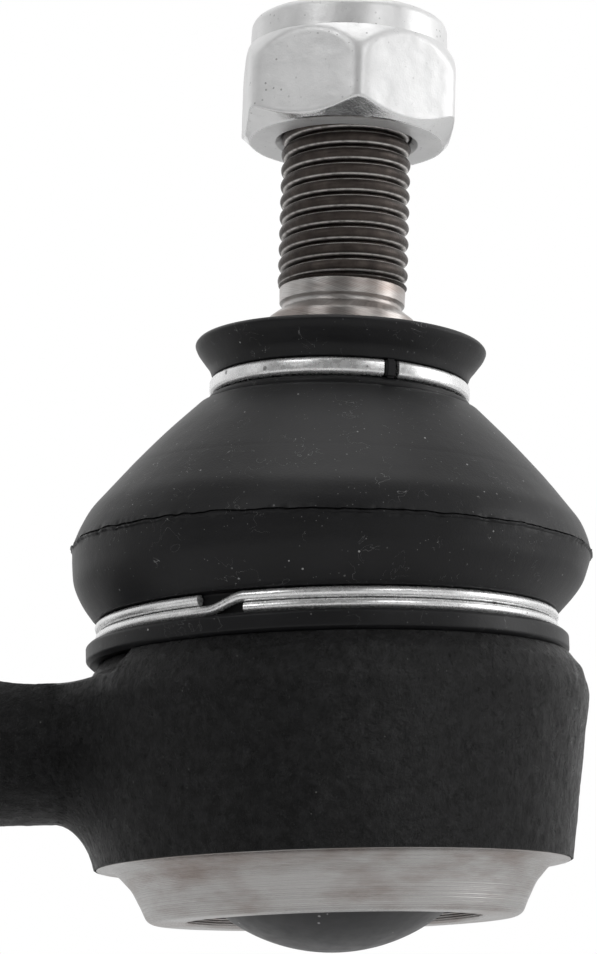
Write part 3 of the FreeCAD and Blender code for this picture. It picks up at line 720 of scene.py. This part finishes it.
def threaded(name, low, high, radius, pitch, depth, ends, segments=240, steps=40):
    """A threaded rod along Z: rows follow the helix, so the grooves stay sharp.

    ends gives, for the low and the high end, how far the thread takes to reach its depth and how
    far the end is chamfered.
    """
    turns = int(math.ceil((high - low) / pitch)) + 2
    rows = turns * steps
    row, column = np.meshgrid(np.arange(rows), np.arange(segments), indexing="ij")
    height = low - pitch + (row / steps + column / segments) * pitch
    phase = row / steps
    height = np.clip(height, low, high)
    fade = ease((height - low) / ends[0][0]) * ease((high - height) / ends[1][0])
    chamfer = np.maximum(ends[0][1] - (height - low), ends[1][1] - (high - height))
    out = np.minimum(radius - depth * fade * thread_depth(phase),
                     radius - np.maximum(chamfer, 0))
    angle = column * TURN / segments
    points = np.stack([out * np.cos(angle), out * np.sin(angle), height], axis=-1)
    faces = []
    for i in range(rows - 1):
        for j in range(segments):
            if j < segments - 1:
                right = (i * segments + j + 1, (i + 1) * segments + j + 1)
            elif i + 1 + steps < rows:
                right = ((i + steps) * segments, (i + steps + 1) * segments)
            else:
                continue
            faces.append((i * segments + j, right[0], right[1], (i + 1) * segments + j))
    # Where the crest edges are worn and carry the painted highlight.
    wear_and_highlight = (crest_edge(phase) * fade).ravel()
    thing = link(name, points.reshape(-1, 3), faces)
    attribute = thing.data.attributes.new("wear_and_highlight", "FLOAT", "POINT")
    attribute.data.foreach_set("value", wear_and_highlight.astype(np.float32))
    close_ends(thing)
    return thing


def close_ends(thing):
    """Merge the rows that lie on top of each other at the ends, then cap the open rims."""
    mesh = bmesh.new()
    mesh.from_mesh(thing.data)
    bmesh.ops.remove_doubles(mesh, verts=mesh.verts, dist=2e-6)
    bmesh.ops.dissolve_degenerate(mesh, edges=mesh.edges, dist=1e-6)
    rim = [edge for edge in mesh.edges if edge.is_boundary]
    bmesh.ops.holes_fill(mesh, edges=rim, sides=0)
    mesh.normal_update()
    mesh.to_mesh(thing.data)
    mesh.free()


def lay_down(thing):
    """Turn a rod built along Z so that it runs out along -X."""
    thing.data.transform(Matrix.Rotation(-math.pi / 2, 4, "Y"))


def make_shank_root():
    """The plain painted neck of the shank, hollowed on top where the drum begins."""
    outline = [(0.0, shank_root_start), (shank_radius, shank_root_start),
               (shank_radius, shank_root_end - 0.6), (shank_radius - 0.3, shank_root_end),
               (0.0, shank_root_end)]
    path = resampled(np.array(outline), 0.25, False)[1:-1]

    def hollowed(points):
        """Cut down to the hollow's floor, with the forging's slight waves."""
        along = -points[:, 2]
        up = points[:, 0]
        side = points[:, 1]
        drop = np.sqrt(np.maximum(scoop_radius ** 2 - (along - scoop_centre) ** 2, 0))
        uncut = 2 * shank_radius
        floor = np.where(np.abs(along - scoop_centre) < scoop_radius, scoop_height - drop, uncut)
        floor = np.where(along > scoop_centre, ledge_height + 0.15, floor)
        up = np.minimum(up, floor)
        rough = 0.04 * layered_noise(points, 0.5, 31) + 0.030 * layered_noise(points, 1.4, 35)
        swell = 1 + rough / shank_radius
        return np.stack([up * swell, side * swell, points[:, 2]], axis=-1)

    thing = lathe("housing_shank_root", path, 480, closed=False, shape=hollowed)
    close_ends(thing)
    lay_down(thing)
    return thing


def make_shank_thread():
    """The shank's long thread."""
    thing = threaded("housing_shank_thread", shank_thread_start, shank_end, shank_radius,
                     shank_pitch, shank_thread_depth, ((1.6, 0.0), (0.8, 1.2)))
    lay_down(thing)
    return thing


def make_end_cap():
    """The pressed end cap: a flat rim turning into a smooth dome."""

    def dome(radius, foot_height, steps):
        """Points of a dome of a radius, from its crown to its foot."""
        reach = math.acos((dome_centre - foot_height) / radius)
        return [(radius * math.sin(reach * step / steps),
                 dome_centre - radius * math.cos(reach * step / steps)) for step in range(steps + 1)]

    foot = math.sqrt(dome_radius ** 2 - (dome_centre - cap_face) ** 2)
    outside = dome(dome_radius, cap_face, 60)[:-1]
    outside += [(foot + cap_blend * 0.4, cap_face - 0.06), (foot + cap_blend * 1.4, cap_face),
                (cap_edge - 0.2, cap_face), (cap_edge, cap_face + 0.2), (cap_edge, cap_top)]
    inside = dome(dome_radius - cap_sheet, cap_top, 40)
    path = np.array(outside + inside[::-1])
    path[:, 0] = np.maximum(path[:, 0], 0.01)
    return lathe("end_cap_dome", resampled(path, 0.4, False), 360, closed=True)


# ---------------------------------------------------------------- boot

def smooth_profile(corners, steps=8):
    """A Catmull-Rom curve through (radius, height) corners."""
    knots = np.array([corners[0]] + corners + [corners[-1]], float)
    path = []
    for index in range(1, len(knots) - 2):
        a, b, c, d = knots[index - 1:index + 3]
        for step in range(steps):
            t = step / steps
            path.append(0.5 * (2 * b + (c - a) * t + (2 * a - 5 * b + 4 * c - d) * t ** 2
                               + (3 * b - a - 3 * c + d) * t ** 3))
    path.append(knots[-1])
    return path


def rubbery(seed, amount=0.05):
    """A shape function: the boot's bend, with slight waves as moulded rubber has."""
    def shape(points):
        spread = np.hypot(points[:, 0], points[:, 1])
        out = np.stack([points[:, 0] / spread, points[:, 1] / spread, 0 * spread], axis=-1)
        wave = amount * layered_noise(points, 0.13, seed)
        free = ease((points[:, 2] - 11.5) / 2) * ease((30.0 - points[:, 2]) / 2)
        return bent(points + out * (wave * free)[:, None])
    return shape


def make_boot_belly():
    """The boot's lower part: the bead, the groove for its ring, the belly and the flash line."""
    bead_edge = rounded([
        (20.0, boot_bottom + 0.03, 0), (bead_radius - 0.35, boot_bottom, 0),
        (bead_radius, boot_bottom + 0.35, 0.3), (bead_radius, groove_low - 0.3, 0.3),
        (bead_radius - 0.3, groove_low - 0.02, 0.15), (groove_radius, groove_low, 0),
        (groove_radius, groove_high, 0.2), (belly_foot_radius - 0.3, groove_high + 0.12, 0.15),
        (belly_foot_radius, belly_foot_height, 0)])
    bead = [tuple(point) for point in bead_edge]
    belly = smooth_profile([(belly_foot_radius, belly_foot_height), (22.20, 12.70), (22.95, 14.10),
                            (23.25, 15.50), (equator_radius, parting_height - 0.45)])
    flash_radius = equator_radius + 0.02 + flash
    line = [(equator_radius + 0.02, parting_height - 0.25), (flash_radius, parting_height - 0.12),
            (flash_radius + 0.01, parting_height - 0.02),
            (equator_radius - 0.2, parting_height + 0.03),
            (equator_radius - 0.2, parting_height + 0.12),
            (equator_radius - 0.02, parting_height + 0.2)]
    crown = smooth_profile([(equator_radius - 0.1, parting_height + 0.5), (22.95, 18.50),
                            (22.25, 19.90), (21.15, 21.30), (19.90, 22.80),
                            (boot_split_radius, boot_split)])
    inner = [(boot_split_radius - boot_wall, boot_split - 1.4), (19.85, 20.20),
             (equator_radius - 2.3, parting_height + 1.2), (equator_radius - boot_wall, parting_height),
             (21.2, 15.2), (20.6, 13.6), (neck_flange_radius + 0.09, 12.6),
             (neck_flange_radius + 0.09, neck_flange_height), (neck_radius + 0.2, 10.6),
             (neck_radius + 0.2, boot_bottom + 0.05)]
    path = np.array(bead + belly[1:] + line + crown + inner)
    smooth = rubbery(41)

    def flashed(points):
        """The flash line wanders and its lip breaks off in places."""
        spread = np.hypot(points[:, 0], points[:, 1])
        outside = spread > equator_radius - 0.9
        near = np.exp(-((points[:, 2] - parting_height) / 0.35) ** 2) * outside
        angle = np.arctan2(points[:, 1], points[:, 0])
        girth = 23
        round_points = np.stack([np.cos(angle) * girth, np.sin(angle) * girth, 0 * angle], axis=-1)
        wander = 0.10 * layered_noise(round_points, 0.8, 45)
        broken = 0.11 * layered_noise(round_points, 1.5, 48)
        moved = points.copy()
        moved[:, 2] += near * wander
        moved[:, :2] *= (1 + near * np.clip(broken, -0.14, 0.05) / girth)[:, None]
        return smooth(moved)

    return lathe("boot_belly", resampled(path, 0.3, True), 900, shape=flashed)


def make_boot_top():
    """The boot's upper part: the cone, the clip's groove and the cupped lip on the stud."""
    cone = smooth_profile([(boot_split_radius, boot_split), (18.60, 24.30), (15.90, 27.20),
                           (12.90, 30.10)])
    groove = [(12.15, 30.8, 0.5), (11.5, 31.15, 0.2), (clip_groove_radius, clip_middle - 0.8, 0.1),
              (clip_groove_radius, clip_middle + 0.8, 0.1), (11.65, 32.9, 0.15)]
    flared_lip = [(11.95, 33.8, 2), (12.5, 34.5, 2), (13.1, 35.3, 2), (13.35, 35.9, 0.3),
                  (13.05, lip_top_height - 0.05, 0.3), (12.3, lip_top_height, 0.25)]
    cup_and_bore = [(8.4, 34.7, 0.5), (7.14, 34.3, 0.2), (7.35, 30.6, 0.2), (9.6, 30.1, 0.3),
                    (11.66, 28.94, 0)]
    collar = [tuple(point) for point in rounded(groove + flared_lip + cup_and_bore, 5)]
    inner = [(17.36, 23.14), (boot_split_radius - boot_wall, boot_split - 1.4)]
    path = np.array(cone + collar + inner)
    return lathe("boot_cone", resampled(path, 0.25, True), 720, shape=rubbery(41))


def make_boot_key():
    """The small rubber key that fills the clip ring's gap."""
    mesh = bmesh.new()
    bmesh.ops.create_cube(mesh, size=1.0)
    bmesh.ops.scale(mesh, vec=(1.55, 1.0, 1.7), verts=mesh.verts)
    bmesh.ops.bevel(mesh, geom=mesh.edges, offset=0.18, segments=3, affect="EDGES")
    turn = Matrix.Rotation(clip_gap_turn, 4, "Z")
    shift = Matrix.Translation((11.1, 0, clip_middle))
    bmesh.ops.transform(mesh, matrix=turn @ shift, verts=mesh.verts)
    points = leaning(np.array([vertex.co[:] for vertex in mesh.verts]))
    faces = [[vertex.index for vertex in face.verts] for face in mesh.faces]
    mesh.free()
    return link("boot_key", points, faces)


# ---------------------------------------------------------------- rings

def round_section(radius, count=28):
    """A wire's round section as (out, up) offsets."""
    angles = [step * TURN / count for step in range(count)]
    return [(radius * math.cos(angle), radius * math.sin(angle)) for angle in angles]


def directions(angles):
    """The outward direction at each angle."""
    return [np.array((math.cos(angle), math.sin(angle), 0)) for angle in angles]


def make_clip_ring():
    """The flat-wire clip, open at the key, with its ends slightly sprung outwards."""
    section = rounded([(clip_half_width, clip_half_height, 0.45),
                       (-clip_half_width, clip_half_height, 0.2),
                       (-clip_half_width, -clip_half_height, 0.2),
                       (clip_half_width, -clip_half_height, 0.45)], 7)
    start = clip_gap_turn + clip_gap / 2
    angles = np.linspace(start, start + TURN - clip_gap, 720)
    outward = directions(angles)
    path = []
    for angle, out in zip(angles, outward):
        from_end = min(angle - angles[0], angles[-1] - angle)
        lift = clip_spring * math.exp(-(from_end / 0.15) ** 2)
        path.append(out * (clip_radius + lift) + np.array((0, 0, clip_middle)))
    thing = sweep("clip_ring_wire", path, outward, section)
    points = np.array([vertex.co[:] for vertex in thing.data.vertices]) / MM
    place_points(thing, leaning(points))
    return thing


def place_points(thing, points):
    """Move a mesh's points, given in millimetres."""
    thing.data.vertices.foreach_set("co", (points * MM).ravel())
    thing.data.update()


def make_base_ring():
    """The two-turn wire ring: a flat turn, a short climb, then a second flat turn."""
    angles = np.linspace(base_ring_start, base_ring_end, 1500)
    outward = directions(angles)
    path = []
    for angle, out in zip(angles, outward):
        climb = float(ease((angle - climb_start) / (climb_end - climb_start)))
        height = base_ring_low + base_ring_rise * climb
        path.append(out * base_ring_radius + np.array((0, 0, height)))
    return sweep("base_ring_wire", path, outward, round_section(base_ring_wire))


# ---------------------------------------------------------------- stud

def make_ball():
    """The ball, its neck and the ground taper, up to the small end."""
    path = [(0.02, -9.3), (2.0, -10.9)]
    first = math.asin(ball_flat_radius / ball_radius)
    last = math.pi - math.asin(stud_neck_radius / ball_radius)
    for angle in np.linspace(first, last, 80):
        path.append((ball_radius * math.sin(angle), -ball_radius * math.cos(angle)))
    path += [tuple(point) for point in rounded([
        (stud_neck_radius, 12.3, 0), (stud_neck_radius, 14.6, 2.5),
        (taper_low_radius, taper_low, 0.4), (taper_top_radius, taper_top, 0.15),
        (taper_top_radius - 0.6, taper_top + 0.4, 0)], 8)]
    path.append((0.02, taper_top + 0.4))
    thing = lathe("stud_ball_and_taper", resampled(np.array(path), 0.4, False), 300,
                  closed=False, shape=leaning)
    close_ends(thing)
    return thing


def make_relief():
    """The flared shoulder, the concave relief and the land under the thread."""
    low = taper_top - 0.3
    high = thread_start + 0.25
    path = rounded([(0.02, low, 0), (taper_top_radius - 0.05, low, 0),
                    (taper_top_radius - 0.08, taper_top + 0.1, 0.1), (5.95, 39.2, 0.6),
                    (relief_radius, 39.5, 0.5), (relief_radius, 39.9, 0.25),
                    (land_radius - 0.03, 40.15, 0.1), (land_radius, high - 0.3, 0.1),
                    (5.3, high, 0), (0.02, high, 0)], 8)
    return lathe("stud_land", resampled(path, 0.15, True), 300, shape=leaning)


def make_stud_thread():
    """The stud's rolled thread, with its worn crests, a painted highlight along their edges, and its
    chamfered tip.
    """
    thing = threaded("stud_thread", thread_start, stud_top, stud_radius, stud_pitch,
                     stud_thread_depth, ((0.7, 0.35), (0.8, 1.1)))
    points = np.array([vertex.co[:] for vertex in thing.data.vertices]) / MM
    place_points(thing, leaning(points))
    return thing


# ---------------------------------------------------------------- nut

def hexagon_radius(angle):
    """Distance to the hexagon's side at an angle from a corner, with rounded corners."""
    worn_power = 26
    total = 0
    for side in range(6):
        across = np.cos(angle - math.radians(30 + 60 * side))
        total = total + np.where(across > 0.05, np.maximum(across, 0.05) ** worn_power, 0)
    return nut_flats / 2 / total ** (1 / worn_power)


def softer(first, second, softness=0.10):
    """The smaller of two lengths, with the edge between them rounded."""
    gap = np.clip(0.5 + 0.5 * (second - first) / softness, 0, 1)
    return second + (first - second) * gap - softness * gap * (1 - gap)


def make_nut():
    """The bevelled hexagon, the rounded collar over it and the countersunk bore."""
    segments = 720
    outline = [(nut_bevel - 0.25, 0.0, 0.0)]
    for height in np.arange(0.03, nut_hex, 0.1):
        outline.append((0.0, height, 1.0))
    collar = rounded([(nut_collar, nut_hex - 0.02, 0), (nut_collar - 0.1, nut_height, 2.9),
                      (nut_hole + 0.1, nut_height, 0.25), (nut_hole, nut_height - 0.4, 0.1),
                      (nut_hole, insert_high, 0), (insert_radius, insert_high, 0),
                      (insert_radius, insert_low, 0), (nut_bore, insert_low, 0),
                      (nut_bore, 0.6, 0.1), (6.6, 0.02, 0.1), (7.0, 0.0, 0)], 14)
    for radius, height in resampled(collar, 0.3, False):
        outline.append((radius, height, 0.0))
    angles = np.arange(segments) * TURN / segments
    sides = hexagon_radius(angles + math.pi / 2)
    points = []
    polish = []
    for radius, height, hexagonal in outline:
        out = radius + 0 * angles
        if hexagonal:
            bevel = nut_bevel + height * nut_bevel_slope
            rise = max(0.0, (height - nut_crown_start) / (nut_hex - nut_crown_start))
            crown = nut_collar + 0.14 + nut_crown_rise * (1 - rise ** 1.7)
            edge = softer(sides, bevel + out)
            polish.append(np.clip((sides - bevel) / 0.12, 0, 1))
            out = softer(edge, crown + out, 0.3)
        else:
            polish.append(0 * out)
        points.append(np.stack([out * np.cos(angles), out * np.sin(angles),
                                height + 0 * angles], axis=-1))
    points = np.array(points).reshape(-1, 3)
    points *= (1 + 0.002 * layered_noise(points, 0.45, 51))[:, None]
    turn = Matrix.Rotation(nut_turn, 3, "Z")
    points = points @ np.array(turn).T + np.array((0, 0, nut_bottom))
    faces = grid_faces(len(outline), segments, True, True)
    thing = link("nut_shell", leaning(points), faces)
    attribute = thing.data.attributes.new("polish", "FLOAT", "POINT")
    attribute.data.foreach_set("value", np.array(polish, np.float32).ravel())
    return thing


# ---------------------------------------------------------------- put everything in place

paint = paint_material()
rubber = rubber_material()
wire = bright_wire_material()
bare_steel = turned_material("bare_steel", (0.60, 0.585, 0.575), 0.26, 0.00022, 0.00003)
ground_steel = turned_material("ground_steel", (0.66, 0.64, 0.625), 0.36, 0.00016, 0.00001)
phosphate = phosphate_material()

housing_pieces = [
    dress(make_forging(), paint, "housing"),
    dress(make_rim(), bare_steel, "housing"),
    dress(make_shank_root(), paint, "housing"),
    dress(make_shank_thread(), phosphate, "housing"),
]
for piece in housing_pieces:
    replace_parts(piece, "housing")

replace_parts(dress(make_end_cap(), cap_material(), "housing"), "end_cap")
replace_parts(dress(make_base_ring(), wire, "housing"), "boot_base_ring")

belly = dress(make_boot_belly(), rubber, None)
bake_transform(belly)
cone = dress(make_boot_top(), rubber, None)
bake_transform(cone)
key = dress(make_boot_key(), rubber, "clip_ring")
for piece in (belly, cone, key):
    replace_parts(piece, "dust_boot")

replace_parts(dress(make_clip_ring(), wire, "clip_ring"), "boot_clip_ring")

for piece in (dress(make_ball(), ground_steel, "stud"),
              dress(make_relief(), ground_steel, "stud"),
              dress(make_stud_thread(), phosphate, "stud")):
    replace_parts(piece, "ball_stud")

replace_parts(dress(make_nut(), zinc_material(), "nut"), "lock_nut")

bearing_plastic = plastic_material("bearing_plastic", (0.78, 0.77, 0.70))
insert_nylon = plastic_material("insert_nylon", (0.62, 0.66, 0.70))
for node, material in (("bearing_shell", bearing_plastic), ("lower_seat", bearing_plastic),
                       ("disc_spring", spring_material()), ("nut_insert", insert_nylon)):
    mesh = frame["nodes"][node].data
    mesh.materials.clear()
    mesh.materials.append(material)


# ---------------------------------------------------------------- camera, floor and light

def make_camera():
    """A long lens from the front, a little below the part and looking up at it."""
    target = Vector((-5.94, 0, 24.2)) * MM
    distance = 0.3135
    elevation = math.radians(-10.435)
    azimuth = math.radians(-3.231)
    roll = math.radians(-1.403)
    back = Vector((math.sin(azimuth) * math.cos(elevation),
                   -math.cos(azimuth) * math.cos(elevation), math.sin(elevation)))
    data = bpy.data.cameras.new("photo_camera")
    data.sensor_width = 36
    data.lens = 130.16
    data.shift_x = 0.0433
    data.clip_start = 0.01
    camera = bpy.data.objects.new("photo_camera", data)
    camera.rotation_mode = "QUATERNION"
    camera.rotation_quaternion = back.to_track_quat("Z", "Y") @ Quaternion((0, 0, 1), roll)
    camera.location = target + back * distance
    bpy.context.scene.collection.objects.link(camera)
    bpy.context.scene.camera = camera


def soft_box(name, place, width, height, brightness):
    """A rectangular soft light, aimed at the part, whose surface has the given radiance."""
    data = bpy.data.lights.new(name, "AREA")
    data.shape = "RECTANGLE"
    data.size = width
    data.size_y = height
    data.energy = brightness * math.pi * width * height
    light = bpy.data.objects.new(name, data)
    light.location = place
    light.rotation_mode = "QUATERNION"
    away = Vector(place) - Vector((0, 0, 0.02))
    light.rotation_quaternion = away.to_track_quat("Z", "Y")
    bpy.context.scene.collection.objects.link(light)


def make_floor():
    """A pale floor below the part."""
    reach = 4000
    floor = link("floor", [(-reach, -reach, floor_height), (reach, -reach, floor_height),
                           (reach, reach, floor_height), (-reach, reach, floor_height)],
                 [(0, 1, 2, 3)], smooth=False)
    floor.data.materials.append(floor_material())


def make_world():
    """A white room that falls off towards the front, behind the camera."""
    world = bpy.data.worlds.new("studio")
    bpy.context.scene.world = world
    world.use_nodes = True
    tree = world.node_tree
    place = tree.nodes.new("ShaderNodeTexCoord").outputs["Generated"]
    split = tree.nodes.new("ShaderNodeSeparateXYZ")
    tree.links.new(place, split.inputs[0])
    ramp = tree.nodes.new("ShaderNodeMapRange")
    ramp.interpolation_type = "SMOOTHSTEP"
    lean_right = tree.nodes.new("ShaderNodeMath")
    lean_right.operation = "MULTIPLY_ADD"
    tree.links.new(split.outputs[0], lean_right.inputs[0])
    lean_right.inputs[1].default_value = 0.30
    tree.links.new(split.outputs[1], lean_right.inputs[2])
    tree.links.new(lean_right.outputs[0], ramp.inputs["Value"])
    for key, value in (("From Min", -0.75), ("From Max", 0.55), ("To Min", 0.06), ("To Max", 0.95)):
        ramp.inputs[key].default_value = value
    seen = tree.nodes.new("ShaderNodeLightPath").outputs["Is Camera Ray"]
    choice = tree.nodes.new("ShaderNodeMath")
    choice.operation = "MAXIMUM"
    tree.links.new(seen, choice.inputs[0])
    tree.links.new(ramp.outputs[0], choice.inputs[1])
    background = tree.nodes["Background"]
    background.inputs["Color"].default_value = (1, 1, 1, 1)
    tree.links.new(choice.outputs[0], background.inputs["Strength"])


make_camera()
make_floor()
make_world()
for name, place, width, height, brightness in (
        ("overhead", (0.02, -0.10, 0.75), 0.55, 0.5, 1.7),
        ("right_side", (0.75, -0.05, 0.06), 0.35, 0.8, 2.8),
        ("left_side", (-0.75, -0.10, 0.30), 0.3, 0.4, 0.6),
        ("front_high_left", (-0.55, -0.65, 0.60), 0.4, 0.35, 3.3),
        ("front_high_right", (0.50, -0.80, 0.45), 0.4, 0.35, 3.0)):
    soft_box(name, place, width, height, brightness)

bpy.context.scene.view_settings.view_transform = "Standard"
